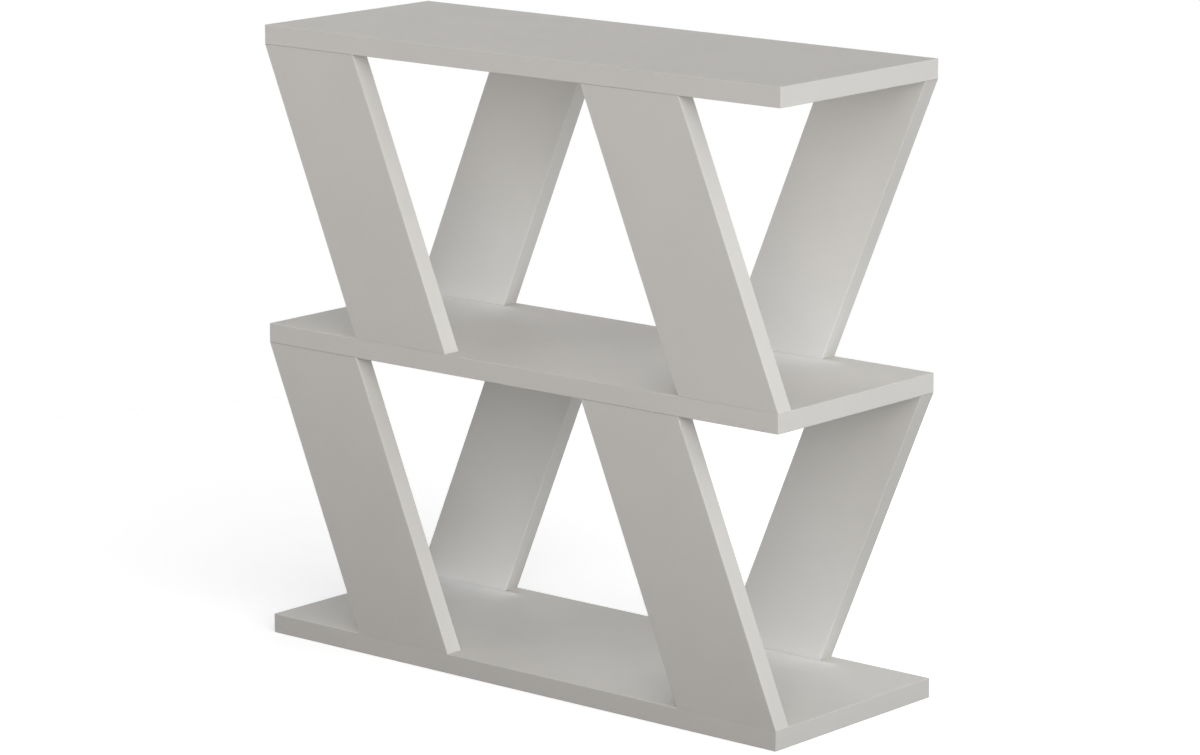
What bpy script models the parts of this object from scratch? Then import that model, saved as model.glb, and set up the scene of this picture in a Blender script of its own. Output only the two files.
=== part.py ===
"""Open zigzag shelving unit: three shelves of melamine-faced board carried on eight slanted uprights.

The front uprights lean one way and the back ones the other, so each bay shows a row of open triangles. Every
upright is held at both ends by a cam lock, with its bolt screwed into the shelf, and by a wooden dowel.

Metres, +Z up. The origin is on the floor under the middle of the unit, X runs along the shelves and the front
faces -Y.
"""

import math

import bmesh
import bpy
from mathutils import Matrix, Vector

# Boards
SHELF_LENGTH = 0.600
SHELF_DEPTH = 0.220
SHELF_THICKNESS = 0.018
BAY_HEIGHT = 0.260
UPRIGHT_WIDTH = 0.110  # along X, across the level cut of an end
UPRIGHT_LEAN = 0.110  # along X, from the foot to the head
UPRIGHT_THICKNESS = 0.018
EDGE_RADIUS = 0.001
EDGE_SEGMENTS = 2
CONTACT_GAP = 0.0003  # between faces that rest on each other

# Places of the fixings at each end of an upright
FIXING_EDGE_DISTANCE = 0.023  # from the side of the upright to a fixing, at its cut end
CAM_SETBACK = 0.034  # from the cut end to the axis of the cam

# Cam: a zinc drum with a hollow for the bolt's head and a slot round it for the neck
CAM_RADIUS = 0.0073
CAM_CLEARANCE = 0.0002
CAM_RECESS = 0.0002  # how far its face lies below the face of the upright
CAM_FLOOR = 0.0006  # under the hollow
CAM_END_CLEARANCE = 0.0003
CAM_WALL = 0.0021  # at the locked end of the slot
CAM_RISE = 0.0007  # how much further out the wall is at the mouth
MOUTH_TURN = math.radians(170)  # from the locked position to the mouth
DRIVE_SPAN = 0.0060
DRIVE_TIP = 0.0010  # width of a wing at its tip
DRIVE_ROOT = 0.0016  # and where it meets the next one
DRIVE_DEPTH = 0.0030

# Connecting bolt
BOLT_THREAD_RADIUS = 0.0030
BOLT_THREAD_LENGTH = 0.0105
BOLT_THREAD_CLEARANCE = 0.0002
BOLT_TIP_LENGTH = 0.0015
BOLT_HOLE_SPARE = 0.0005
BOLT_COLLAR_LIP = 0.0006
BOLT_COLLAR_HEIGHT = 0.0015
BOLT_SHANK_RADIUS = 0.0027
BOLT_NECK_RADIUS = 0.0020
BOLT_NECK_CLEARANCE = 0.0003
BOLT_HEAD_RADIUS = 0.0033
BOLT_HEAD_LENGTH = 0.0029
BOLT_HEAD_CLEARANCE = 0.0003
BOLT_BORE_CLEARANCE = 0.0004

# Dowel
DOWEL_RADIUS = 0.0040
DOWEL_LENGTH = 0.030
DOWEL_IN_SHELF = 0.010
DOWEL_CLEARANCE = 0.0002
DOWEL_HOLE_SPARE = 0.001
DOWEL_CHAMFER = 0.0010
DOWEL_FLUTE_DEPTH = 0.0002

# Facets round a circle, in fours so that a peg and its hole have their corners in line
CAM_FACETS = 16
CHAMBER_FACETS = 12
BOLT_FACETS = 8
DOWEL_FACETS = 12
SLOT_STEPS = 4

TIERS = ("lower", "upper")
SHELVES = ("bottom_shelf", "middle_shelf", "top_shelf")
ROWS = {"front": -1, "back": 1}  # which side of Y the row stands on, and which way along X its heads lean
SIDES = {"left": -1, "right": 1}
ENDS = {"bottom": -1, "top": 1}

OVERCUT = 0.002  # how far a cutter stands out of the face that it cuts
MERGE = 0.00001
SMOOTH_ANGLE = math.radians(35)

# Worked out from the sizes above
FIXING_OFFSET = UPRIGHT_WIDTH / 2 - FIXING_EDGE_DISTANCE
BOLT_COLLAR_RADIUS = BOLT_THREAD_RADIUS + BOLT_COLLAR_LIP
BOLT_SHOULDER_RADIUS = (BOLT_NECK_RADIUS + BOLT_HEAD_RADIUS) / 2
BOLT_BORE_RADIUS = max(BOLT_COLLAR_RADIUS, BOLT_HEAD_RADIUS) + BOLT_BORE_CLEARANCE
CAM_CHAMBER_RADIUS = CAM_RADIUS - CAM_WALL
CAM_CHAMBER_HALF_HEIGHT = BOLT_HEAD_RADIUS + BOLT_HEAD_CLEARANCE
CAM_SLOT_HALF_HEIGHT = BOLT_NECK_RADIUS + BOLT_NECK_CLEARANCE
CAM_BELOW_BOLT = CAM_CHAMBER_HALF_HEIGHT + CAM_FLOOR
CAM_ABOVE_BOLT = UPRIGHT_THICKNESS / 2 - CAM_RECESS


def clear_scene():
    for obj in list(bpy.data.objects):
        bpy.data.objects.remove(obj)


def new_collection(name):
    collection = bpy.data.collections.new(name)
    bpy.context.scene.collection.children.link(collection)
    return collection


def new_material(name, colour, roughness, metallic=0.0):
    material = bpy.data.materials.new(name)
    material.use_nodes = True
    shader = material.node_tree.nodes["Principled BSDF"]
    shader.inputs["Base Color"].default_value = (*colour, 1.0)
    shader.inputs["Roughness"].default_value = roughness
    shader.inputs["Metallic"].default_value = metallic
    material.diffuse_color = (*colour, 1.0)
    return material


clear_scene()
unit = new_collection("zigzag_shelving_unit")
cutters = new_collection("cutters")
melamine = new_material("warm_grey_melamine", (0.57, 0.55, 0.52), 0.5)
zinc = new_material("die_cast_zinc", (0.52, 0.53, 0.55), 0.45, 0.9)
steel = new_material("zinc_plated_steel", (0.62, 0.61, 0.58), 0.35, 1.0)
beech = new_material("beech", (0.60, 0.42, 0.25), 0.7)


def mesh_object(name, build, collection, material=None):
    """A new object whose mesh the function build makes in a bmesh."""
    mesh = bpy.data.meshes.new(name)
    solid = bmesh.new()
    build(solid)
    bmesh.ops.recalc_face_normals(solid, faces=solid.faces)
    solid.to_mesh(mesh)
    solid.free()
    if material:
        mesh.materials.append(material)
    obj = bpy.data.objects.new(name, mesh)
    collection.objects.link(obj)
    return obj


def evaluated_mesh(obj):
    """A mesh of the object with its modifiers applied."""
    graph = bpy.context.evaluated_depsgraph_get()
    return bpy.data.meshes.new_from_object(obj.evaluated_get(graph))


def finished(template):
    """The mesh of a template with its modifiers applied. The template and its cutters then go."""
    mesh = evaluated_mesh(template)
    mesh.shade_smooth()
    mesh.set_sharp_from_angle(angle=SMOOTH_ANGLE)
    drawn = [m.object for m in template.modifiers if m.type == "BOOLEAN"] + [template]
    for obj in drawn:
        drawn_mesh = obj.data
        bpy.data.objects.remove(obj)
        bpy.data.meshes.remove(drawn_mesh)
    return mesh


def subtract(body, cutter):
    cutter.hide_render = True
    cutter.display_type = "WIRE"
    modifier = body.modifiers.new("cut_" + cutter.name, "BOOLEAN")
    modifier.operation = "DIFFERENCE"
    modifier.object = cutter


def outline_cutter(name, points, half_height):
    """A cutter made from a flat outline, as thick as twice half_height, with its caps welded."""
    curve = bpy.data.curves.new(name, "CURVE")
    curve.dimensions = "2D"
    curve.fill_mode = "BOTH"
    curve.extrude = half_height
    spline = curve.splines.new("POLY")
    spline.points.add(len(points) - 1)
    for point, (x, y) in zip(spline.points, points):
        point.co = (x, y, 0.0, 1.0)
    spline.use_cyclic_u = True
    drawn = bpy.data.objects.new(name + "_outline", curve)
    cutters.objects.link(drawn)
    mesh = evaluated_mesh(drawn)
    bpy.data.objects.remove(drawn)
    bpy.data.curves.remove(curve)

    def build(solid):
        solid.from_mesh(mesh)
        bmesh.ops.remove_doubles(solid, verts=solid.verts, dist=MERGE)

    cutter = mesh_object(name, build, cutters)
    bpy.data.meshes.remove(mesh)
    return cutter


def add_cylinder(solid, start, end, radius, facets):
    """Adds a closed cylinder that runs from one point to another."""
    axis = end - start
    turn = axis.to_track_quat("Z", "Y").to_matrix().to_4x4()
    place = Matrix.Translation((start + end) / 2) @ turn
    bmesh.ops.create_cone(
        solid,
        cap_ends=True,
        segments=facets,
        radius1=radius,
        radius2=radius,
        depth=axis.length,
        matrix=place,
    )


def drill(body, name, holes, facets):
    """Cuts blind holes, each given by the centre of its mouth, its direction, its radius and its depth."""

    def build(solid):
        for mouth, inwards, radius, depth in holes:
            add_cylinder(solid, mouth - inwards * OVERCUT, mouth + inwards * depth, radius, facets)

    subtract(body, mesh_object(name, build, cutters))


def fixings(row, end):
    """How far along X the bolt and the dowel of one end stand from the middle of the upright."""
    lean = ROWS[row]
    end_middle = end * lean * UPRIGHT_LEAN / 2
    return end_middle - end * lean * FIXING_OFFSET, end_middle + end * lean * FIXING_OFFSET


def upright_mesh(row):
    """A sheared board with level ends, rounded along its four long edges and drilled for its fixings."""
    height = BAY_HEIGHT - 2 * CONTACT_GAP

    def build(solid):
        bmesh.ops.create_cube(solid, size=1.0)
        bmesh.ops.scale(solid, vec=(UPRIGHT_WIDTH, UPRIGHT_THICKNESS, height), verts=solid.verts)
        for vertex in solid.verts:
            vertex.co.x += ROWS[row] * UPRIGHT_LEAN * vertex.co.z / BAY_HEIGHT
        long_edges = [e for e in solid.edges if abs(e.verts[0].co.z - e.verts[1].co.z) > height / 2]
        bmesh.ops.bevel(
            solid,
            geom=long_edges,
            offset=EDGE_RADIUS,
            segments=EDGE_SEGMENTS,
            profile=0.5,
            affect="EDGES",
        )

    board = mesh_object(row + "_upright", build, unit, melamine)
    rear_face = UPRIGHT_THICKNESS / 2
    cam_holes = []
    bolt_holes = []
    dowel_holes = []
    for end in ENDS.values():
        bolt_x, dowel_x = fixings(row, end)
        cut = end * height / 2
        inwards = Vector((0, 0, -end))
        cam_z = cut - end * CAM_SETBACK
        cam_depth = UPRIGHT_THICKNESS / 2 + CAM_BELOW_BOLT + CAM_END_CLEARANCE
        cam_mouth = Vector((bolt_x, rear_face, cam_z))
        cam_holes.append((cam_mouth, Vector((0, -1, 0)), CAM_RADIUS + CAM_CLEARANCE, cam_depth))
        bolt_holes.append((Vector((bolt_x, 0, cut)), inwards, BOLT_BORE_RADIUS, CAM_SETBACK))
        dowel_depth = DOWEL_LENGTH - DOWEL_IN_SHELF - CONTACT_GAP + DOWEL_HOLE_SPARE
        dowel_mouth = Vector((dowel_x, 0, cut))
        dowel_holes.append((dowel_mouth, inwards, DOWEL_RADIUS + DOWEL_CLEARANCE, dowel_depth))
    drill(board, row + "_cam_holes", cam_holes, CAM_FACETS)
    drill(board, row + "_bolt_holes", bolt_holes, BOLT_FACETS)
    drill(board, row + "_dowel_holes", dowel_holes, DOWEL_FACETS)
    return finished(board)


def around(radius, angle):
    return radius * math.cos(angle), radius * math.sin(angle)


def spiral_outline():
    """The inside of the cam, whose wall comes in from the slot's mouth to its locked end, on local +X."""
    points = []
    for i in range(CHAMBER_FACETS):
        angle = 2 * math.pi * i / CHAMBER_FACETS
        if angle <= MOUTH_TURN:
            share = angle / MOUTH_TURN
        else:
            share = (2 * math.pi - angle) / (2 * math.pi - MOUTH_TURN)
        points.append(around(CAM_CHAMBER_RADIUS + CAM_RISE * share, angle))
    return points


def slot_outline():
    """A pie slice from past the locked head to the mouth, from inside the hollow to outside the drum."""
    start = -math.asin(CAM_CHAMBER_HALF_HEIGHT / CAM_CHAMBER_RADIUS)
    angles = [start + (MOUTH_TURN - start) * i / SLOT_STEPS for i in range(SLOT_STEPS + 1)]
    arc = [around(CAM_RADIUS + OVERCUT, angle) for angle in reversed(angles)]
    return [around(CAM_CHAMBER_RADIUS / 2, angle) for angle in angles] + arc


def cross_outline():
    """The drive recess: four wings, each wider at its root than at its tip."""
    points = []
    for turn in range(4):
        for width, height in ((DRIVE_SPAN, DRIVE_TIP), (DRIVE_ROOT, DRIVE_ROOT), (DRIVE_TIP, DRIVE_SPAN)):
            angle = math.atan2(height, width) + turn * math.pi / 2
            points.append(around(math.hypot(width, height) / 2, angle))
    return points


def cam_mesh():
    """The cam, locked. Its axis is local Z with the driven face up, and the bolt comes in along local X."""
    base = Vector((0, 0, -CAM_BELOW_BOLT))
    face = Vector((0, 0, CAM_ABOVE_BOLT))
    mouth = Vector((*around(1.0, MOUTH_TURN), 0.0))
    mouth_start = mouth * CAM_CHAMBER_RADIUS / 2
    mouth_end = mouth * (CAM_RADIUS + OVERCUT)
    mouth_radius = BOLT_HEAD_RADIUS + BOLT_HEAD_CLEARANCE / 2

    def build_drum(solid):
        add_cylinder(solid, base, face, CAM_RADIUS, CAM_FACETS)

    def build_mouth(solid):
        add_cylinder(solid, mouth_start, mouth_end, mouth_radius, BOLT_FACETS)

    drum = mesh_object("cam", build_drum, unit, zinc)
    subtract(drum, outline_cutter("cam_chamber", spiral_outline(), CAM_CHAMBER_HALF_HEIGHT))
    subtract(drum, outline_cutter("cam_slot", slot_outline(), CAM_SLOT_HALF_HEIGHT))
    subtract(drum, mesh_object("cam_mouth", build_mouth, cutters))
    drive = outline_cutter("cam_drive", cross_outline(), DRIVE_DEPTH)
    drive.location = face
    subtract(drum, drive)
    return finished(drum)


def bolt_profile():
    """Radius and height of the bolt's outer side, from its head down. The shelf's face is at height 0."""
    cam_axis = CONTACT_GAP + CAM_SETBACK
    seat_radius = CAM_CHAMBER_RADIUS - BOLT_HEAD_CLEARANCE
    beside_slot = BOLT_SHOULDER_RADIUS**2 - CAM_SLOT_HALF_HEIGHT**2
    shoulder = cam_axis - math.sqrt(seat_radius**2 - max(beside_slot, 0.0))
    head_chamfer = BOLT_HEAD_RADIUS - BOLT_SHOULDER_RADIUS
    head_top = shoulder + BOLT_HEAD_LENGTH
    shank_top = cam_axis - CAM_RADIUS - BOLT_NECK_CLEARANCE
    collar_top = CONTACT_GAP + BOLT_COLLAR_HEIGHT
    return [
        (0.0, head_top),
        (BOLT_HEAD_RADIUS, head_top),
        (BOLT_HEAD_RADIUS, shoulder + head_chamfer),
        (BOLT_SHOULDER_RADIUS, shoulder),
        (BOLT_NECK_RADIUS, shoulder),
        (BOLT_NECK_RADIUS, shank_top),
        (BOLT_SHANK_RADIUS, shank_top),
        (BOLT_SHANK_RADIUS, collar_top),
        (BOLT_COLLAR_RADIUS, collar_top),
        (BOLT_COLLAR_RADIUS, CONTACT_GAP),
        (BOLT_THREAD_RADIUS, CONTACT_GAP),
        (BOLT_THREAD_RADIUS, BOLT_TIP_LENGTH - BOLT_THREAD_LENGTH),
        (0.0, -BOLT_THREAD_LENGTH),
    ]


def bolt_mesh():
    """The connecting bolt, turned about local Z, with its head up inside the cam."""
    profile = [(radius, 0.0, height) for radius, height in bolt_profile()]
    mesh = bpy.data.meshes.new("bolt")
    mesh.from_pydata(profile, [(i, i + 1) for i in range(len(profile) - 1)], [])
    mesh.materials.append(steel)
    bolt = bpy.data.objects.new("bolt", mesh)
    unit.objects.link(bolt)
    screw = bolt.modifiers.new("turn", "SCREW")
    screw.steps = screw.render_steps = BOLT_FACETS
    screw.use_merge_vertices = True
    screw.merge_threshold = MERGE
    return finished(bolt)


def dowel_mesh():
    """A fluted dowel along local Z with chamfered ends, and the shelf's face at 0."""
    low = Vector((0, 0, -DOWEL_IN_SHELF))
    high = Vector((0, 0, DOWEL_LENGTH - DOWEL_IN_SHELF))

    def build(solid):
        add_cylinder(solid, low, high, DOWEL_RADIUS, DOWEL_FACETS)
        rims = [e for e in solid.edges if abs(e.verts[0].co.z - e.verts[1].co.z) < DOWEL_LENGTH / 2]
        bmesh.ops.bevel(solid, geom=rims, offset=DOWEL_CHAMFER, segments=1, profile=0.5, affect="EDGES")
        for vertex in solid.verts:
            angle = math.atan2(vertex.co.y, vertex.co.x)
            if round(angle * DOWEL_FACETS / (2 * math.pi)) % 2:
                radius = math.hypot(vertex.co.x, vertex.co.y)
                shrink = (radius - DOWEL_FLUTE_DEPTH) / radius
                vertex.co.x *= shrink
                vertex.co.y *= shrink

    return finished(mesh_object("dowel", build, unit, beech))


def shelf_level(index):
    """The height of the underside of a shelf."""
    return index * (SHELF_THICKNESS + BAY_HEIGHT)


def upright_places():
    """Each upright: its tier, row and side, and the point in the middle of it."""
    for tier_index, tier in enumerate(TIERS):
        for row, front_or_back in ROWS.items():
            for side, left_or_right in SIDES.items():
                x = left_or_right * (SHELF_LENGTH - UPRIGHT_WIDTH - UPRIGHT_LEAN) / 2
                y = front_or_back * (SHELF_DEPTH - UPRIGHT_THICKNESS) / 2
                z = shelf_level(tier_index) + SHELF_THICKNESS + BAY_HEIGHT / 2
                yield tier_index, tier, row, side, Vector((x, y, z))


def add_shelf(index, name):
    """A board, rounded on every edge and drilled for the bolts and dowels of the uprights that it meets."""

    def build(solid):
        bmesh.ops.create_cube(solid, size=1.0)
        bmesh.ops.scale(solid, vec=(SHELF_LENGTH, SHELF_DEPTH, SHELF_THICKNESS), verts=solid.verts)

    shelf = mesh_object(name, build, unit, melamine)
    shelf.location.z = shelf_level(index) + SHELF_THICKNESS / 2
    bevel = shelf.modifiers.new("edge_rounding", "BEVEL")
    bevel.width = EDGE_RADIUS
    bevel.segments = EDGE_SEGMENTS

    bolt_holes = []
    dowel_holes = []
    for tier_index, _, row, _, middle in upright_places():
        end = 1 if tier_index == index - 1 else -1
        if tier_index not in (index - 1, index):
            continue
        face = middle.z + end * BAY_HEIGHT / 2
        into_shelf = Vector((0, 0, end))
        bolt_x, dowel_x = fixings(row, end)
        bolt_mouth = Vector((middle.x + bolt_x, middle.y, face))
        dowel_mouth = Vector((middle.x + dowel_x, middle.y, face))
        bolt_depth = BOLT_THREAD_LENGTH + BOLT_HOLE_SPARE
        bolt_holes.append((bolt_mouth, into_shelf, BOLT_THREAD_RADIUS + BOLT_THREAD_CLEARANCE, bolt_depth))
        dowel_depth = DOWEL_IN_SHELF + DOWEL_HOLE_SPARE
        dowel_holes.append((dowel_mouth, into_shelf, DOWEL_RADIUS + DOWEL_CLEARANCE, dowel_depth))
    drill(shelf, name + "_bolt_holes", bolt_holes, BOLT_FACETS)
    drill(shelf, name + "_dowel_holes", dowel_holes, DOWEL_FACETS)


def place(name, mesh, parent, location, turn=None):
    """A piece that shares its mesh with its copies, under the empty of its upright."""
    piece = bpy.data.objects.new(name, mesh)
    unit.objects.link(piece)
    piece.parent = parent
    piece.location = location
    if turn:
        piece.rotation_euler = turn.to_euler()
    return piece


def cam_turn(end):
    """Turns the cam's face to the back and its neck hole to the end of the upright."""
    return Matrix(((0, end, 0), (0, 0, 1), (end, 0, 0)))


def fixing_turn(end):
    """Stands a bolt or dowel on the shelf's face, pointing into the upright."""
    return Matrix.Rotation(math.pi, 3, "X") if end > 0 else Matrix.Identity(3)


def add_upright(meshes, tier, row, side, middle):
    """An upright with the cam, bolt and dowel of each end."""
    name = f"{tier}_{row}_{side}"
    frame = bpy.data.objects.new(name, None)
    frame.location = middle
    unit.objects.link(frame)
    place(name + "_upright", meshes[row], frame, (0, 0, 0))
    for end_name, end in ENDS.items():
        bolt_x, dowel_x = fixings(row, end)
        face = end * BAY_HEIGHT / 2
        cam_z = face - end * (CONTACT_GAP + CAM_SETBACK)
        label = f"{name}_{end_name}"
        place(label + "_cam", meshes["cam"], frame, (bolt_x, 0, cam_z), cam_turn(end))
        place(label + "_bolt", meshes["bolt"], frame, (bolt_x, 0, face), fixing_turn(end))
        place(label + "_dowel", meshes["dowel"], frame, (dowel_x, 0, face), fixing_turn(end))


def build_unit():
    for index, name in enumerate(SHELVES):
        add_shelf(index, name)
    meshes = {row: upright_mesh(row) for row in ROWS}
    meshes["cam"] = cam_mesh()
    meshes["bolt"] = bolt_mesh()
    meshes["dowel"] = dowel_mesh()
    for _, tier, row, side, middle in upright_places():
        add_upright(meshes, tier, row, side, middle)


build_unit()
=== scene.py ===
"""The look of the open zigzag shelving unit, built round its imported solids.

Each board becomes a faced panel with drilled holes and separate edging strips. The cams, bolts and dowels
are replaced by finer meshes of the same size in the same places. Metres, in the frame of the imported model.
"""

import math

import bmesh
import bpy
from mathutils import Matrix, Vector


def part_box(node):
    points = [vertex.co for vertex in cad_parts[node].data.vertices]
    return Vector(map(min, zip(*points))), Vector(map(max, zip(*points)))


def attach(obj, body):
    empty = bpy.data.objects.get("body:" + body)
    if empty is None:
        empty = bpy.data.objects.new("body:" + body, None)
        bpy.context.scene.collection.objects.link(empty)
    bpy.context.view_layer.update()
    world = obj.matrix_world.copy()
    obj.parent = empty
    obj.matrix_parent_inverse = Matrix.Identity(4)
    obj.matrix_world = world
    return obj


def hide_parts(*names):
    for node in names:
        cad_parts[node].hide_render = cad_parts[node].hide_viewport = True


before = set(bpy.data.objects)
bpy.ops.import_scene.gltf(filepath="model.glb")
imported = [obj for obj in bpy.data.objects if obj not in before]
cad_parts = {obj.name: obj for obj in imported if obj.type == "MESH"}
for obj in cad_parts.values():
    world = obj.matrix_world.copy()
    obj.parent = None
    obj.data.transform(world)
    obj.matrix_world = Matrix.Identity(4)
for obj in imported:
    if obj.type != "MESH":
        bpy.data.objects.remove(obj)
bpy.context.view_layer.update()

BODY = "root"

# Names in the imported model
SHELVES = ("bottom_shelf", "middle_shelf", "top_shelf")
TIERS = ("lower", "upper")
ROWS = {"front": -1, "back": 1}  # which way along X the heads lean
SIDES = ("left", "right")
ENDS = {"bottom": -1, "top": 1}

# Boards
BOARD_THICKNESS = 0.018
UPRIGHT_WIDTH = 0.110  # along X, across a level end
UPRIGHT_SLOPE = 0.110 / 0.260  # along X, for each metre up
EDGING = 0.0013  # thickness of the strips bonded to the edges
ARRIS = 0.0005  # radius to which their corners are scraped
ARRIS_STEPS = 5
JOINT = 0.00004  # how far the corners at a glued joint are broken
STRIP_GAP = 0.00003  # between two strips that meet at a corner
SEAT_GAP = 0.00005  # between a level end and the shelf that it stands on or carries
PACKED_SEAT_GAP = 0.0003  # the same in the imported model

# Holes
CAM_HOLE_RADIUS = 0.0075
CAM_HOLE_FLOOR = 0.0045  # left under the hole
BOLT_BORE_RADIUS = 0.0040
BOLT_HOLE_RADIUS = 0.0032
BOLT_HOLE_DEPTH = 0.0110
DOWEL_HOLE_RADIUS = 0.0042
DOWEL_DEPTH_IN_UPRIGHT = 0.0207
DOWEL_DEPTH_IN_SHELF = 0.0110
HOLE_FACETS = 48

# Cam, in a frame with its axis on Z, its driven face up and the bolt's axis on X
CAM_RADIUS = 0.0073
CAM_BASE = -0.0042
CAM_FACE = 0.0088
CAM_EDGE = 0.0004  # radius of the cast corners
CAM_EDGE_STEPS = 3
CAM_FACETS = 64
CHAMBER_RADIUS = 0.0052
CHAMBER_RISE = 0.0007
CHAMBER_HALF_HEIGHT = 0.0036
NECK_SLOT_HALF_HEIGHT = 0.0023
MOUTH_TURN = math.radians(170)
MOUTH_RADIUS = 0.00345
SLOT_STEPS = 24
DRIVE_SPAN = 0.0060
DRIVE_TIP = 0.0011
DRIVE_ROOT = 0.0017
DRIVE_DEPTH = 0.0030
DRIVE_TAPER = 0.55  # width of the recess at its bottom as a share of its width at the face
ARROW_DEPTH = 0.00025
ARROW = ((0.0066, 0.0), (0.0050, 0.0011), (0.0050, -0.0011))

# Bolt, in a frame with the shelf's face at 0 and its head up
HEAD_RADIUS = 0.0033
HEAD_LENGTH = 0.0029
SHOULDER_RADIUS = 0.00265  # of the flat under the head
SHOULDER_SLOPE = 0.00065  # length over which it widens to the head
NECK_RADIUS = 0.0020
SHANK_RADIUS = 0.0027
SHANK_GAP = 0.0003  # between its end and the drum of the cam
COLLAR_RADIUS = 0.0036
COLLAR_LOW = 0.0003
COLLAR_HIGH = 0.0018
CAM_AXIS_HEIGHT = 0.0343
THREAD_CREST = 0.0030
THREAD_ROOT = 0.0022
THREAD_PITCH = 0.0018
THREAD_FOOT = 0.36  # half the width of the ridge at its root, as a share of the pitch
THREAD_FLANK = 0.24  # width of each slope of it, as a share of the pitch
THREAD_STEPS = 12  # rings for each turn
THREAD_TOP = -0.0002
THREAD_END = -0.0090
THREAD_FACETS = 32
TIP_TAPER = 0.55  # radius halfway along the tip as a share of the thread's root
TIP_RADIUS = 0.0002
BOLT_TIP = -0.0105
BOLT_EDGE = 0.0002

# Dowel, in a frame with the shelf's face at 0
DOWEL_RADIUS = 0.0040
DOWEL_LOW = -0.010
DOWEL_HIGH = 0.020
DOWEL_FLUTES = 18
DOWEL_FLUTE_DEPTH = 0.00022
DOWEL_FLUTE_POINTS = 6  # for each flute
DOWEL_CHAMFER = 0.0010

OVERCUT = 0.002  # how far a cutter goes past the face that it opens
MEETING_GAP = 0.002  # an end of an upright within this of a shelf's face meets it
MERGE = 0.000002  # points closer than this are one
SMOOTH_ANGLE = math.radians(35)  # up to this, neighbouring faces are shaded as one
SAME_WAY = 0.99  # cosine of the angle up to which a face counts as facing a direction


# Materials


class NodeTree:
    """Short ways to add nodes to a tree and link them."""

    def __init__(self, tree):
        self.tree = tree

    def add(self, kind, inputs=None, **settings):
        """A node of one kind, with its settings, and with values or links for its inputs."""
        node = self.tree.nodes.new(kind)
        for name, value in settings.items():
            setattr(node, name, value)
        for name, value in (inputs or {}).items():
            if isinstance(value, bpy.types.NodeSocket):
                self.tree.links.new(value, node.inputs[name])
            else:
                node.inputs[name].default_value = value
        return node

    def math(self, operation, *values):
        """The result of one operation on values or links."""
        return self.add("ShaderNodeMath", dict(enumerate(values)), operation=operation).outputs["Value"]


class NodeMaterial(NodeTree):
    """A Principled material, with short ways to add the textures that drive it."""

    def __init__(self, name, roughness, metallic=0.0, specular=0.5):
        self.material = bpy.data.materials.new(name)
        self.material.use_nodes = True
        super().__init__(self.material.node_tree)
        self.shader = self.tree.nodes["Principled BSDF"]
        self.shader.inputs["Roughness"].default_value = roughness
        self.shader.inputs["Metallic"].default_value = metallic
        self.shader.inputs["Specular IOR Level"].default_value = specular

    def place(self, scale=(1.0, 1.0, 1.0)):
        """Points of the unit in metres, stretched by the scale."""
        position = self.add("ShaderNodeNewGeometry").outputs["Position"]
        return self.add("ShaderNodeMapping", {"Vector": position, "Scale": scale}).outputs["Vector"]

    def own_place(self, scale=(1.0, 1.0, 1.0)):
        """Points in the piece's own frame, stretched by the scale."""
        own = self.add("ShaderNodeTexCoord").outputs["Object"]
        return self.add("ShaderNodeMapping", {"Vector": own, "Scale": scale}).outputs["Vector"]

    def noise(self, place, scale, detail=2.0, roughness=0.5):
        """Soft noise between 0 and 1. The scale is the number of lumps to the metre."""
        values = {"Vector": place, "Scale": scale, "Detail": detail, "Roughness": roughness}
        return self.add("ShaderNodeTexNoise", values).outputs["Fac"]

    def cells(self, place, scale):
        """The distance to the nearest of many scattered points, their number to the metre given."""
        return self.add("ShaderNodeTexVoronoi", {"Vector": place, "Scale": scale}).outputs["Distance"]

    def spread(self, value, low, high, start=0.3, end=0.7):
        """A value between start and end taken to the range from low to high."""
        values = {"Value": value, "From Min": start, "From Max": end, "To Min": low, "To Max": high}
        return self.add("ShaderNodeMapRange", values).outputs["Result"]

    def sum(self, first, *others):
        """Several values or links added up."""
        total = first
        for value in others:
            total = self.math("ADD", total, value)
        return total

    def ramp(self, value, stops):
        """A colour from a value, through stops of a place and a colour."""
        node = self.add("ShaderNodeValToRGB", {"Fac": value})
        elements = node.color_ramp.elements
        while len(elements) < len(stops):
            elements.new(0.5)
        for element, (place, colour) in zip(elements, stops):
            element.position = place
            element.color = (*colour, 1.0)
        return node.outputs["Color"]

    def tinted(self, colour, value, share):
        """A colour made lighter and darker by a share, following a value between 0 and 1."""
        dark = [c * (1 - share) for c in colour]
        light = [c * (1 + share) for c in colour]
        return self.ramp(value, ((0.25, dark), (0.75, light)))

    def finish(self, colour=None, roughness=None, height=None, depth=0.0):
        """Drives the shader's colour, roughness and bump, the bump's depth in metres."""
        if colour:
            self.tree.links.new(colour, self.shader.inputs["Base Color"])
        if roughness:
            self.tree.links.new(roughness, self.shader.inputs["Roughness"])
        if height:
            bump = self.add("ShaderNodeBump", {"Height": height, "Strength": 1.0, "Distance": depth})
            self.tree.links.new(bump.outputs["Normal"], self.shader.inputs["Normal"])
        return self.material


MELAMINE = (0.560, 0.540, 0.512)
EDGING_COLOUR = (0.565, 0.545, 0.516)


def melamine_face():
    """The pearled face of the board: a fine even grain under very faint clouds."""
    paint = NodeMaterial("melamine_face", roughness=0.6, specular=0.2)
    place = paint.place()
    clouds = paint.noise(place, 16.0, detail=3.0)
    grain = paint.noise(place, 750.0)
    pearls = paint.cells(place, 820.0)
    faint_clouds = paint.spread(clouds, 0.25, 0.75, start=0.35, end=0.65)
    tone = paint.sum(faint_clouds, paint.spread(grain, -0.2, 0.2))
    colour = paint.tinted(MELAMINE, tone, share=0.012)
    roughness = paint.spread(paint.noise(place, 90.0, detail=3.0), 0.56, 0.64)
    return paint.finish(colour, roughness, paint.sum(pearls, grain), depth=0.000006)


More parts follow.
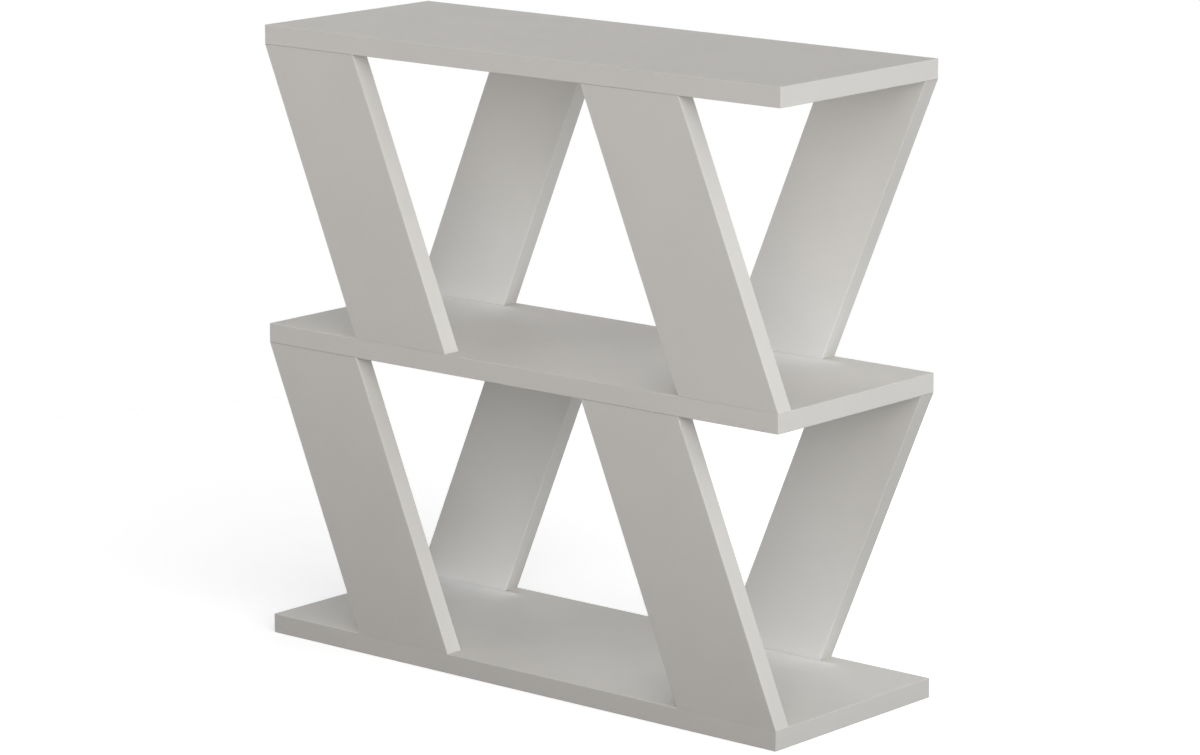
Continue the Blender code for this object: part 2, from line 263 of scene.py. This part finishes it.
def melamine_edging(name, stretch):
    """The edging: the same grey, with faint streaks along its length from extrusion and scraping."""
    paint = NodeMaterial(name, roughness=0.52, specular=0.25)
    lengthwise = paint.place(stretch)
    streaks = paint.noise(lengthwise, 1.0, detail=4.0, roughness=0.6)
    clouds = paint.noise(paint.place(), 20.0)
    tone = paint.sum(paint.spread(streaks, 0.2, 0.8), paint.spread(clouds, -0.15, 0.15))
    colour = paint.tinted(EDGING_COLOUR, tone, share=0.016)
    roughness = paint.spread(streaks, 0.46, 0.58)
    return paint.finish(colour, roughness, streaks, depth=0.000012)


def chipboard():
    """The core of the board, seen in the holes and at the level ends: pressed chips in brown resin."""
    paint = NodeMaterial("chipboard_core", roughness=0.9, specular=0.2)
    place = paint.place((1.0, 1.0, 2.2))
    warp = paint.noise(place, 500.0)
    chips = paint.cells(place, 620.0)
    chip_tone = paint.spread(chips, 0.15, 0.75, start=0.0, end=0.9)
    tone = paint.sum(chip_tone, paint.spread(warp, -0.2, 0.2))
    stops = ((0.1, (0.20, 0.125, 0.065)), (0.45, (0.36, 0.25, 0.145)), (0.9, (0.52, 0.40, 0.26)))
    return paint.finish(paint.ramp(tone, stops), height=tone, depth=0.00025)


def cast_zinc():
    """Die-cast zinc straight from the mould: dull, a little cloudy, with a pebbled skin."""
    paint = NodeMaterial("cast_zinc", roughness=0.52, metallic=0.9)
    place = paint.own_place()
    clouds = paint.noise(place, 420.0, detail=4.0, roughness=0.6)
    pebbles = paint.noise(place, 2600.0)
    colour = paint.ramp(clouds, ((0.3, (0.34, 0.35, 0.37)), (0.7, (0.49, 0.50, 0.52))))
    roughness = paint.spread(clouds, 0.46, 0.62)
    return paint.finish(colour, roughness, pebbles, depth=0.00003)


def plated_steel():
    """Zinc-plated steel: bright, with turning marks round it and a faint yellow cast in places."""
    paint = NodeMaterial("plated_steel", roughness=0.3, metallic=1.0)
    marks = paint.noise(paint.own_place((0.05, 0.05, 1.0)), 9000.0)
    clouds = paint.noise(paint.own_place(), 300.0, detail=3.0)
    colour = paint.ramp(clouds, ((0.3, (0.60, 0.61, 0.62)), (0.7, (0.70, 0.67, 0.58))))
    roughness = paint.spread(marks, 0.24, 0.38)
    return paint.finish(colour, roughness, marks, depth=0.00001)


def beech():
    """Beech along its grain: pale pink brown, with darker lines and short flecks."""
    paint = NodeMaterial("beech", roughness=0.62, specular=0.3)
    grain = paint.noise(paint.own_place((1.0, 1.0, 0.06)), 1500.0, detail=4.0, roughness=0.65)
    flecks = paint.cells(paint.own_place((1.0, 1.0, 0.25)), 1400.0)
    fleck_tone = paint.spread(flecks, 0.1, -0.1, start=0.0, end=0.6)
    tone = paint.sum(paint.spread(grain, 0.1, 0.9), fleck_tone)
    stops = ((0.1, (0.36, 0.215, 0.115)), (0.5, (0.56, 0.385, 0.235)), (0.9, (0.68, 0.50, 0.33)))
    return paint.finish(paint.ramp(tone, stops), paint.spread(grain, 0.5, 0.72), grain, depth=0.00006)


FACE = melamine_face()
LEVEL_EDGING = melamine_edging("melamine_edging_level", (30.0, 30.0, 1400.0))
SLANTED_EDGING = melamine_edging("melamine_edging_slanted", (30.0, 1400.0, 30.0))
CORE = chipboard()
MATERIALS = {"cam": cast_zinc(), "bolt": plated_steel(), "dowel": beech()}


# Meshes


def add_object(name, data):
    """A new object in the scene."""
    obj = bpy.data.objects.new(name, data)
    bpy.context.scene.collection.objects.link(obj)
    return obj


def skin(solid, rings):
    """Joins rings with the same number of points into a skin, closed at both ends."""
    rows = [[solid.verts.new(point) for point in ring] for ring in rings]
    for low, high in zip(rows, rows[1:]):
        for i in range(len(low)):
            following = (i + 1) % len(low)
            solid.faces.new((low[i], low[following], high[following], high[i]))
    solid.faces.new(rows[0])
    solid.faces.new(rows[-1])


def circle(radius, height, facets):
    """The corners of a level ring round Z."""
    turns = (2 * math.pi * i / facets for i in range(facets))
    return [Vector((radius * math.cos(a), radius * math.sin(a), height)) for a in turns]


def quarter_turn(steps):
    """The angles of a rounded corner, from 0 to a quarter turn."""
    return [math.pi / 2 * step / steps for step in range(steps + 1)]


def mesh_object(name, build, *materials):
    """A new object whose closed mesh the function build makes in a bmesh."""
    mesh = bpy.data.meshes.new(name)
    solid = bmesh.new()
    build(solid)
    bmesh.ops.remove_doubles(solid, verts=solid.verts, dist=MERGE)
    bmesh.ops.recalc_face_normals(solid, faces=solid.faces)
    solid.to_mesh(mesh)
    solid.free()
    for material in materials:
        mesh.materials.append(material)
    return add_object(name, mesh)


def cut(body, cutters):
    """Takes the cutters out of the body. What they cut gets their material."""
    for cutter in cutters:
        modifier = body.modifiers.new("cut", "BOOLEAN")
        modifier.operation = "DIFFERENCE"
        modifier.material_mode = "TRANSFER"
        modifier.object = cutter
    applied(body)
    for cutter in cutters:
        bpy.data.objects.remove(cutter)


def applied(obj):
    """Puts the object's modifiers into its mesh and takes them off."""
    graph = bpy.context.evaluated_depsgraph_get()
    mesh = bpy.data.meshes.new_from_object(obj.evaluated_get(graph))
    obj.modifiers.clear()
    obj.data = mesh


def shaded(obj, weighted=False):
    """Smooth shading between faces at a small angle, kept flat on the large ones if weighted."""
    obj.data.shade_smooth()
    obj.data.set_sharp_from_angle(angle=SMOOTH_ANGLE)
    if weighted:
        modifier = obj.modifiers.new("flat_faces", "WEIGHTED_NORMAL")
        modifier.keep_sharp = True
        applied(obj)
    return obj


def drill(name, holes, radius, material):
    """One cutter for several round holes, each given by its mouth, direction inwards and depth."""

    def build(solid):
        for mouth, inwards, depth in holes:
            turn = inwards.to_track_quat("Z", "Y").to_matrix().to_4x4()
            place = Matrix.Translation(mouth) @ turn
            rings = [circle(radius, height, HOLE_FACETS) for height in (-OVERCUT, depth)]
            skin(solid, [[place @ point for point in ring] for ring in rings])

    return mesh_object(name, build, material)


# Boards


def inset(outline, distances):
    """A convex outline, counter-clockwise, with each side moved inwards by its own distance."""
    moved = []
    count = len(outline)
    for i in range(count):
        start = Vector(outline[i])
        along = (Vector(outline[(i + 1) % count]) - start).normalized()
        inwards = Vector((-along.y, along.x))
        moved.append((start + inwards * distances[i], along))
    corners = []
    for i in range(count):
        (start, along), (other, other_along) = moved[i - 1], moved[i]
        turn = along.cross(other_along)
        reach = (other - start).cross(other_along) / turn
        corners.append(start + along * reach)
    return corners


def panel(name, outline, placed, bare_sides=()):
    """The faced core of a board, its corners broken by a hair where the edging is glued on.

    The faces towards the bare sides show the chipboard.
    """
    half = BOARD_THICKNESS / 2
    hair = inset(outline, [JOINT] * len(outline))
    layers = ((hair, -half), (outline, JOINT - half), (outline, half - JOINT), (hair, half))

    def build(solid):
        skin(solid, [[placed(u, v, w) for u, v in shape] for shape, w in layers])

    obj = mesh_object(name, build, FACE, CORE)
    bare = obj.data.materials.find(CORE.name)
    for polygon in obj.data.polygons:
        if any(abs(polygon.normal.dot(side)) > SAME_WAY for side in bare_sides):
            polygon.material_index = bare
    return obj


def edging_profile():
    """The strip's outline: how far in from the edge of the board, and how far from the middle of it."""
    half = BOARD_THICKNESS / 2
    lower = [(EDGING, JOINT - half), (EDGING - JOINT, -half)]
    for angle in quarter_turn(ARRIS_STEPS):
        lower.append((ARRIS * (1 - math.sin(angle)), ARRIS * (1 - math.cos(angle)) - half))
    upper = [(inwards, -off_middle) for inwards, off_middle in reversed(lower)]
    return lower + upper


PROFILE = edging_profile()


def shelf_corner(corner, sign_x, sign_y, inwards, angle):
    """A point at a corner of a shelf: on the rounding, or further in on the mitre behind it."""
    if inwards > ARRIS:
        return corner[0] - sign_x * inwards, corner[1] - sign_y * inwards
    reach = ARRIS - inwards
    centre = (corner[0] - sign_x * ARRIS, corner[1] - sign_y * ARRIS)
    return centre[0] + sign_x * reach * math.sin(angle), centre[1] + sign_y * reach * math.cos(angle)


def add_shelf(name):
    """A shelf: its panel, with the holes of the uprights that meet it, and four strips of edging."""
    low, high = shelf_boxes[name]
    middle = (low.z + high.z) / 2

    def placed(u, v, w):
        return Vector((u, v, middle + w))

    board = [(low.x, low.y), (high.x, low.y), (high.x, high.y), (low.x, high.y)]
    core = inset(board, [EDGING] * len(board))
    body = panel(name + "_panel", core, placed)
    bolt_holes = []
    dowel_holes = []
    for upright in uprights:
        for end in ENDS.values():
            face, into = (high.z, -1) if end < 0 else (low.z, 1)
            if abs(upright.ends[end] - face) > MEETING_GAP:
                continue
            inwards = Vector((0, 0, into))
            x, y = upright.bolts[end]
            bolt_holes.append((Vector((x, y, face)), inwards, BOLT_HOLE_DEPTH))
            x, y = upright.dowels[end]
            dowel_holes.append((Vector((x, y, face)), inwards, DOWEL_DEPTH_IN_SHELF))
    cut(
        body,
        [
            drill(name + "_bolt_holes", bolt_holes, BOLT_HOLE_RADIUS, CORE),
            drill(name + "_dowel_holes", dowel_holes, DOWEL_HOLE_RADIUS, CORE),
        ],
    )

    def long_strip(solid, side):
        """The front or back strip, which rounds both corners and covers the ends of the short ones."""
        rings = []
        edge_y = high.y if side > 0 else low.y
        angles = quarter_turn(ARRIS_STEPS)
        for end, turns in ((-1, reversed(angles)), (1, angles)):
            corner = (high.x if end > 0 else low.x, edge_y)
            arc = []
            for angle in turns:
                arc.append([(*shelf_corner(corner, end, side, d, angle), w) for d, w in PROFILE])
            cut_end = [(corner[0] - end * d, corner[1] - side * EDGING, w) for d, w in PROFILE]
            rings += arc + [cut_end] if end > 0 else [cut_end] + arc
        skin(solid, [[placed(*point) for point in ring] for ring in rings])

    def short_strip(solid, side):
        """The strip at one end, between the long ones."""
        edge_x = high.x if side > 0 else low.x
        reach = high.y - EDGING - STRIP_GAP
        rings = [[(edge_x - side * d, y, w) for d, w in PROFILE] for y in (-reach, reach)]
        skin(solid, [[placed(*point) for point in ring] for ring in rings])

    def build_edging(solid):
        for side in (-1, 1):
            long_strip(solid, side)
            short_strip(solid, side)

    edging = mesh_object(name + "_edging", build_edging, LEVEL_EDGING)
    stand_for(shaded(body), name, "board")
    stand_for(shaded(edging, weighted=True), name, "board")


class Upright:
    """Where one upright and its fixings are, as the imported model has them."""

    def __init__(self, tier, row, side):
        self.name = f"{tier}_{row}_{side}"
        self.tier = tier
        self.lean = ROWS[row]
        self.low, self.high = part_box(self.name + "_upright")
        self.middle = (self.low + self.high) / 2
        self.ends = {-1: self.low.z, 1: self.high.z}
        self.bolts = {}
        self.dowels = {}
        self.cams = {}
        for end_name, end in ENDS.items():
            for kind, places in (("bolt", self.bolts), ("dowel", self.dowels), ("cam", self.cams)):
                low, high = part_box(f"{self.name}_{end_name}_{kind}")
                centre = (low + high) / 2
                places[end] = (centre.x, centre.z) if kind == "cam" else (centre.x, centre.y)

    def centre_line(self, z):
        """Where the middle of the slanted board is along X at a height."""
        return self.middle.x + self.lean * UPRIGHT_SLOPE * (z - self.middle.z)


def add_upright(upright, shelf_faces):
    """A slanted board: its panel, with bare level ends and its holes, and two strips of edging."""
    name = upright.name
    low_z, high_z = shelf_faces
    low_z += SEAT_GAP
    high_z -= SEAT_GAP
    middle = upright.middle

    def placed(u, v, w):
        return Vector((u, middle.y + w, v))

    half_width = UPRIGHT_WIDTH / 2
    slant = math.hypot(1.0, UPRIGHT_SLOPE)  # level distance for each metre straight in from a long edge
    foot_x, head_x = upright.centre_line(low_z), upright.centre_line(high_z)
    board = [(foot_x - half_width, low_z), (foot_x + half_width, low_z)]
    board += [(head_x + half_width, high_z), (head_x - half_width, high_z)]
    core = inset(board, [0.0, EDGING, 0.0, EDGING])
    body = panel(name + "_panel", core, placed, bare_sides=(Vector((0, 0, 1)),))
    rear = middle.y + BOARD_THICKNESS / 2
    cams = []
    bores = []
    dowels = []
    for end in ENDS.values():
        inwards = Vector((0, 0, -end))
        face = high_z if end > 0 else low_z
        x, z = upright.cams[end]
        cams.append((Vector((x, rear, z)), Vector((0, -1, 0)), BOARD_THICKNESS - CAM_HOLE_FLOOR))
        x, y = upright.bolts[end]
        bores.append((Vector((x, y, face)), inwards, abs(face - z)))
        x, y = upright.dowels[end]
        dowels.append((Vector((x, y, face)), inwards, DOWEL_DEPTH_IN_UPRIGHT))
    cut(
        body,
        [
            drill(name + "_cam_holes", cams, CAM_HOLE_RADIUS, CORE),
            drill(name + "_bolt_bores", bores, BOLT_BORE_RADIUS, CORE),
            drill(name + "_dowel_holes", dowels, DOWEL_HOLE_RADIUS, CORE),
        ],
    )

    def build_edging(solid):
        for side in (-1, 1):
            rings = []
            for z in (low_z, high_z):
                edge = upright.centre_line(z) + side * half_width
                rings.append([placed(edge - side * slant * d, z, w) for d, w in PROFILE])
            skin(solid, rings)

    edging = mesh_object(name + "_edging", build_edging, SLANTED_EDGING)
    stand_for(shaded(body), name + "_upright", "board")
    stand_for(shaded(edging, weighted=True), name + "_upright", "board")


def stand_for(piece, node, kind):
    """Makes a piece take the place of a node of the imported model."""
    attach(piece, BODY)
    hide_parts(node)


# Fixings


def around(radius, angle):
    """A point at a distance from the axis and at an angle from X."""
    return radius * math.cos(angle), radius * math.sin(angle)


def prism(name, points, low, high, taper=1.0):
    """A cutter from a flat outline, narrower at its low end by the taper."""

    def build(solid):
        narrow = [Vector((x * taper, y * taper, low)) for x, y in points]
        wide = [Vector((x, y, high)) for x, y in points]
        skin(solid, [narrow, wide])

    return mesh_object(name, build)


def chamber_outline():
    """The inside of the cam, whose wall comes in from the mouth to the locked end on X."""
    points = []
    for i in range(HOLE_FACETS):
        angle = 2 * math.pi * i / HOLE_FACETS
        if angle <= MOUTH_TURN:
            share = angle / MOUTH_TURN
        else:
            share = (2 * math.pi - angle) / (2 * math.pi - MOUTH_TURN)
        points.append(around(CHAMBER_RADIUS + CHAMBER_RISE * share, angle))
    return points


def slot_outline():
    """A slice from past the locked head to the mouth, from inside the chamber to outside the drum."""
    start = -math.asin(CHAMBER_HALF_HEIGHT / CHAMBER_RADIUS)
    angles = [start + (MOUTH_TURN - start) * i / SLOT_STEPS for i in range(SLOT_STEPS + 1)]
    inner = [around(CHAMBER_RADIUS / 2, angle) for angle in angles]
    return inner + [around(CAM_RADIUS + OVERCUT, angle) for angle in reversed(angles)]


def cross_outline():
    """The drive recess: four wings, each wider at its root than at its tip."""
    points = []
    wing = ((DRIVE_SPAN, DRIVE_TIP), (DRIVE_ROOT, DRIVE_ROOT), (DRIVE_TIP, DRIVE_SPAN))
    for turn in range(4):
        for width, height in wing:
            angle = math.atan2(height, width) + turn * math.pi / 2
            points.append(around(math.hypot(width, height) / 2, angle))
    return points


def cam_piece():
    """The locked cam: its hollow, neck slot and mouth, the drive recess and a mark towards the bolt."""

    def build_drum(solid):
        rings = []
        for level, up in ((CAM_BASE, 1), (CAM_FACE, -1)):
            corner = []
            for angle in quarter_turn(CAM_EDGE_STEPS):
                radius = CAM_RADIUS - CAM_EDGE * (1 - math.sin(angle))
                corner.append(circle(radius, level + up * CAM_EDGE * (1 - math.cos(angle)), CAM_FACETS))
            rings += corner if up > 0 else reversed(corner)
        skin(solid, rings)

    def build_mouth(solid):
        turn = Matrix.Rotation(MOUTH_TURN, 4, "Z") @ Matrix.Rotation(math.pi / 2, 4, "Y")
        ends = (CHAMBER_RADIUS / 2, CAM_RADIUS + OVERCUT)
        rings = [circle(MOUTH_RADIUS, reach, HOLE_FACETS) for reach in ends]
        skin(solid, [[turn @ point for point in ring] for ring in rings])

    drum = mesh_object("cam", build_drum, MATERIALS["cam"])
    face_top = CAM_FACE + OVERCUT
    recess_spread = 1 + (1 - DRIVE_TAPER) * OVERCUT / DRIVE_DEPTH
    drive = [(x * recess_spread, y * recess_spread) for x, y in cross_outline()]
    cut(
        drum,
        [
            prism("chamber", chamber_outline(), -CHAMBER_HALF_HEIGHT, CHAMBER_HALF_HEIGHT),
            prism("neck_slot", slot_outline(), -NECK_SLOT_HALF_HEIGHT, NECK_SLOT_HALF_HEIGHT),
            mesh_object("mouth", build_mouth),
            prism("drive", drive, CAM_FACE - DRIVE_DEPTH, face_top, DRIVE_TAPER / recess_spread),
            prism("arrow", ARROW, CAM_FACE - ARROW_DEPTH, face_top),
        ],
    )
    return shaded(drum, weighted=True)


def thread_ridge(height, angle):
    """How far the thread stands out at a point, from 0 at its root to 1 along its crest."""
    phase = (height / THREAD_PITCH + angle / (2 * math.pi)) % 1.0
    ridge = (THREAD_FOOT - abs(phase - 0.5)) / THREAD_FLANK
    run_out = min((THREAD_TOP - height) / THREAD_PITCH, (height - BOLT_TIP) / THREAD_PITCH, 1.0)
    return max(0.0, min(1.0, ridge)) * max(0.0, run_out)


def bolt_piece():
    """The connecting bolt: a coarse thread for the shelf, a collar on its face, a neck and a head."""
    low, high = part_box("lower_front_left_bottom_bolt")
    face = low.z - BOLT_TIP
    head_top = high.z - face
    shoulder = head_top - HEAD_LENGTH
    shank_end = CAM_AXIS_HEIGHT - CAM_RADIUS - SHANK_GAP
    upper = [
        (HEAD_RADIUS - BOLT_EDGE, head_top),
        (HEAD_RADIUS, head_top - BOLT_EDGE),
        (HEAD_RADIUS, shoulder + SHOULDER_SLOPE),
        (SHOULDER_RADIUS, shoulder),
        (NECK_RADIUS, shoulder - BOLT_EDGE / 2),
        (NECK_RADIUS, shank_end + BOLT_EDGE),
        (SHANK_RADIUS - BOLT_EDGE, shank_end),
        (SHANK_RADIUS, shank_end - BOLT_EDGE),
        (SHANK_RADIUS, COLLAR_HIGH),
        (COLLAR_RADIUS - BOLT_EDGE, COLLAR_HIGH),
        (COLLAR_RADIUS, COLLAR_HIGH - BOLT_EDGE),
        (COLLAR_RADIUS, COLLAR_LOW + BOLT_EDGE),
        (COLLAR_RADIUS - BOLT_EDGE, COLLAR_LOW),
        (THREAD_ROOT, COLLAR_LOW),
    ]

    def build(solid):
        rings = [circle(radius, height, THREAD_FACETS) for radius, height in upper]
        step = THREAD_PITCH / THREAD_STEPS
        count = round((THREAD_TOP - THREAD_END) / step)
        for i in range(count + 1):
            height = THREAD_TOP - step * i
            rings.append([])
            for j in range(THREAD_FACETS):
                angle = 2 * math.pi * j / THREAD_FACETS
                radius = THREAD_ROOT + (THREAD_CREST - THREAD_ROOT) * thread_ridge(height, angle)
                rings[-1].append(Vector((*around(radius, angle), height)))
        rings.append(circle(THREAD_ROOT * TIP_TAPER, (THREAD_END + BOLT_TIP) / 2, THREAD_FACETS))
        rings.append(circle(TIP_RADIUS, BOLT_TIP, THREAD_FACETS))
        skin(solid, rings)

    return shaded(mesh_object("bolt", build, MATERIALS["bolt"]), weighted=True)


def dowel_piece():
    """A fluted beech dowel with chamfered ends."""
    count = DOWEL_FLUTES * DOWEL_FLUTE_POINTS

    def ring(height, shrink):
        points = []
        for i in range(count):
            wave = 0.5 - 0.5 * math.cos(2 * math.pi * i / DOWEL_FLUTE_POINTS)
            radius = DOWEL_RADIUS - DOWEL_FLUTE_DEPTH * wave**2 - shrink
            points.append(Vector((*around(radius, 2 * math.pi * i / count), height)))
        return points

    def build(solid):
        ends = [(DOWEL_LOW, DOWEL_CHAMFER), (DOWEL_LOW + DOWEL_CHAMFER, 0.0)]
        ends += [(DOWEL_HIGH - DOWEL_CHAMFER, 0.0), (DOWEL_HIGH, DOWEL_CHAMFER)]
        skin(solid, [ring(height, shrink) for height, shrink in ends])

    return shaded(mesh_object("dowel", build, MATERIALS["dowel"]))


def add_fixings(upright, meshes):
    """The cam, bolt and dowel at each end of an upright. The cam is turned to face the bolt."""
    for end_name, end in ENDS.items():
        upright_end = f"{upright.name}_{end_name}"
        x, z = upright.cams[end]
        cam_turn = Matrix(((0, end, 0), (0, 0, 1), (end, 0, 0))).to_4x4()
        place_cam = Matrix.Translation((x, upright.middle.y, z)) @ cam_turn
        flip = Matrix.Rotation(math.pi, 4, "X") if end > 0 else Matrix.Identity(4)
        face = upright.ends[end] + end * PACKED_SEAT_GAP
        places = {"cam": place_cam}
        for kind, spots in (("bolt", upright.bolts), ("dowel", upright.dowels)):
            places[kind] = Matrix.Translation((*spots[end], face)) @ flip
        for kind, place in places.items():
            node = f"{upright_end}_{kind}"
            piece = add_object("detailed_" + node, meshes[kind])
            piece.matrix_world = place
            stand_for(piece, node, kind)


def taken_mesh(template):
    """The mesh of a template object, which then goes."""
    mesh = template.data
    bpy.data.objects.remove(template)
    return mesh


shelf_boxes = {shelf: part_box(shelf) for shelf in SHELVES}
uprights = [Upright(tier, row, side) for tier in TIERS for row in ROWS for side in SIDES]
for shelf in SHELVES:
    add_shelf(shelf)
fixing_meshes = {
    "cam": taken_mesh(cam_piece()),
    "bolt": taken_mesh(bolt_piece()),
    "dowel": taken_mesh(dowel_piece()),
}
for upright in uprights:
    level = TIERS.index(upright.tier)
    below, above = SHELVES[level : level + 2]
    add_upright(upright, (shelf_boxes[below][1].z, shelf_boxes[above][0].z))
    add_fixings(upright, fixing_meshes)


# Stage

FLOOR_RADIUS = 1.2
FLOOR_FACETS = 96
FLOOR_LEVEL = -0.0001  # a hair under the unit
WHITE = (1.0, 1.0, 1.0)
COOL = (0.76, 0.90, 1.0)
UNIT_MIDDLE = (0.0, 0.0, 0.3)
LAMP_SIZE = 0.6
LOBE_SHARPNESS = 6.0  # the higher, the narrower a direction of light
THROWN_COLOUR = (0.83, 0.91, 1.0)
THROWN_RISE = 0.0001  # over the board's face
THROWN_HEIGHT = 0.10  # of the part of an upright that throws it


def seen_rays(nodes):
    """1 for rays that go to the camera, straight, reflected or through glass, and 0 for the light."""
    paths = nodes.add("ShaderNodeLightPath").outputs
    straight = nodes.math("MAXIMUM", paths["Is Camera Ray"], paths["Is Glossy Ray"])
    return nodes.math("MAXIMUM", straight, paths["Is Transmission Ray"])


def add_floor(bounce, shade, glow):
    """A round floor that shows white with the unit's soft shadow, and throws little light back up."""
    material = bpy.data.materials.new("studio_floor")
    material.use_nodes = True
    material.node_tree.nodes.clear()
    nodes = NodeTree(material.node_tree)
    unseen = nodes.add("ShaderNodeBsdfDiffuse", {"Color": (bounce, bounce, bounce, 1.0)})
    shadowed = nodes.add("ShaderNodeBsdfDiffuse", {"Color": (shade, shade, shade, 1.0)})
    lift = nodes.add("ShaderNodeEmission", {"Strength": glow})
    seen = nodes.add("ShaderNodeAddShader", {0: shadowed.outputs[0], 1: lift.outputs[0]})
    chosen = {0: seen_rays(nodes), 1: unseen.outputs[0], 2: seen.outputs[0]}
    mix = nodes.add("ShaderNodeMixShader", chosen)
    nodes.add("ShaderNodeOutputMaterial", {"Surface": mix.outputs[0]})

    def build(solid):
        bmesh.ops.create_circle(solid, cap_ends=True, radius=FLOOR_RADIUS, segments=FLOOR_FACETS)

    floor = mesh_object("floor", build, material)
    floor.location.z = FLOOR_LEVEL


def add_world(lobes):
    """Soft white light from a few broad directions, each with its strength. The world shows white."""
    world = bpy.data.worlds.new("studio")
    bpy.context.scene.world = world
    world.use_nodes = True
    world.node_tree.nodes.clear()
    nodes = NodeTree(world.node_tree)
    outwards = nodes.add("ShaderNodeTexCoord").outputs["Generated"]
    strength = 0.0
    for azimuth, elevation, power in lobes:
        rise = math.radians(elevation)
        x, y = around(math.cos(rise), math.radians(azimuth))
        direction = (x, y, math.sin(rise))
        dot = nodes.add("ShaderNodeVectorMath", {0: outwards, 1: direction}, operation="DOT_PRODUCT")
        facing = nodes.math("MAXIMUM", dot.outputs["Value"], 0.0)
        lobe = nodes.math("POWER", facing, LOBE_SHARPNESS)
        strength = nodes.math("MULTIPLY_ADD", lobe, power, strength)
    light = nodes.add("ShaderNodeBackground", {"Color": (*WHITE, 1.0), "Strength": strength})
    shown = nodes.add("ShaderNodeBackground", {"Color": (*WHITE, 1.0), "Strength": 1.0})
    chosen = {0: seen_rays(nodes), 1: light.outputs[0], 2: shown.outputs[0]}
    mix = nodes.add("ShaderNodeMixShader", chosen)
    nodes.add("ShaderNodeOutputWorld", {"Surface": mix.outputs[0]})


def flat_lamp(name, place, size, power, colour):
    """A soft rectangular lamp."""
    light = bpy.data.lights.new(name, "AREA")
    light.shape = "RECTANGLE"
    light.size, light.size_y = size
    light.energy = power
    light.color = colour
    lamp = add_object(name, light)
    lamp.location = place
    return lamp


def add_lamp(name, place, power, colour):
    """A soft square lamp that faces the middle of the unit."""
    lamp = flat_lamp(name, place, (LAMP_SIZE, LAMP_SIZE), power, colour)
    lamp.rotation_euler = (Vector(UNIT_MIDDLE) - Vector(place)).to_track_quat("-Z", "Y").to_euler()


def add_thrown_light(board, place, turn, size, power):
    """More of the light that a pale board throws on the others: a flat lamp that lies on it unseen."""
    lamp = flat_lamp("thrown_by_" + board, place, size, power, THROWN_COLOUR)
    lamp.rotation_euler.x = turn
    lamp.visible_camera = False
    lamp.visible_glossy = False


def throw_up(shelf):
    """From a shelf, between its two rows of uprights."""
    low, high = shelf_boxes[shelf]
    place = ((low.x + high.x) / 2, (low.y + high.y) / 2, high.z + THROWN_RISE)
    size = (high.x - low.x, high.y - low.y - 2 * BOARD_THICKNESS)
    add_thrown_light(shelf, place, math.pi, size, THROWN_UP_POWER)


def throw_forward(upright):
    """From the foot of an upright of the back row, to the shelf before it."""
    z = upright.low.z + THROWN_HEIGHT / 2
    place = (upright.centre_line(z), upright.low.y - THROWN_RISE, z)
    size = (UPRIGHT_WIDTH, THROWN_HEIGHT)
    add_thrown_light(upright.name, place, -math.pi / 2, size, THROWN_FORWARD_POWER)


# Broad directions of light: azimuth from +X towards +Y and elevation in degrees, and strength
LOBES = (
    (0, 35, 1.65),
    (135, -15, 5.36),
    (180, -15, 1.63),
    (315, 10, 2.68),
    (315, 35, 0.78),
)

# Lamps round the unit: place, power in watts and colour
LAMPS = {
    "front_right": ((0.92, -0.92, 0.5), 1.81, WHITE),
    "front_left": ((-0.92, -0.92, 1.1), 2.03, WHITE),
    "right": ((1.3, 0.0, 0.5), 1.72, COOL),
    "rear": ((0.0, 1.3, 0.5), 4.4, WHITE),
}
THROWN_UP_POWER = 0.221
THROWN_FORWARD_POWER = 0.0297

add_floor(bounce=0.02, shade=0.80, glow=0.46)
add_world(LOBES)
for lamp_name, lamp_values in LAMPS.items():
    add_lamp(lamp_name, *lamp_values)
for shelf in SHELVES[:-1]:
    throw_up(shelf)
for upright in uprights:
    if upright.lean == ROWS["back"]:
        throw_forward(upright)


# Camera

CAMERA_PLACE = Vector((2.62843597, -3.06293379, 1.13342050))
CAMERA_RIGHT = Vector((0.76003395, 0.64988267, -0.00095606))
CAMERA_AHEAD = Vector((-0.63559275, 0.74301356, -0.20964900))
CAMERA_LENS = 137.1377
SENSOR_WIDTH = 36.0
NEAREST, FARTHEST = 0.1, 100.0


def add_camera():
    """The camera of the photograph."""
    data = bpy.data.cameras.new("camera")
    data.lens = CAMERA_LENS
    data.sensor_fit = "HORIZONTAL"
    data.sensor_width = SENSOR_WIDTH
    data.clip_start = NEAREST
    data.clip_end = FARTHEST
    camera = add_object("camera", data)
    up = CAMERA_RIGHT.cross(CAMERA_AHEAD)
    turn = Matrix((CAMERA_RIGHT, up, -CAMERA_AHEAD)).transposed().to_4x4()
    camera.matrix_world = Matrix.Translation(CAMERA_PLACE) @ turn
    bpy.context.scene.camera = camera


add_camera()
bpy.context.scene.view_settings.view_transform = "Standard"
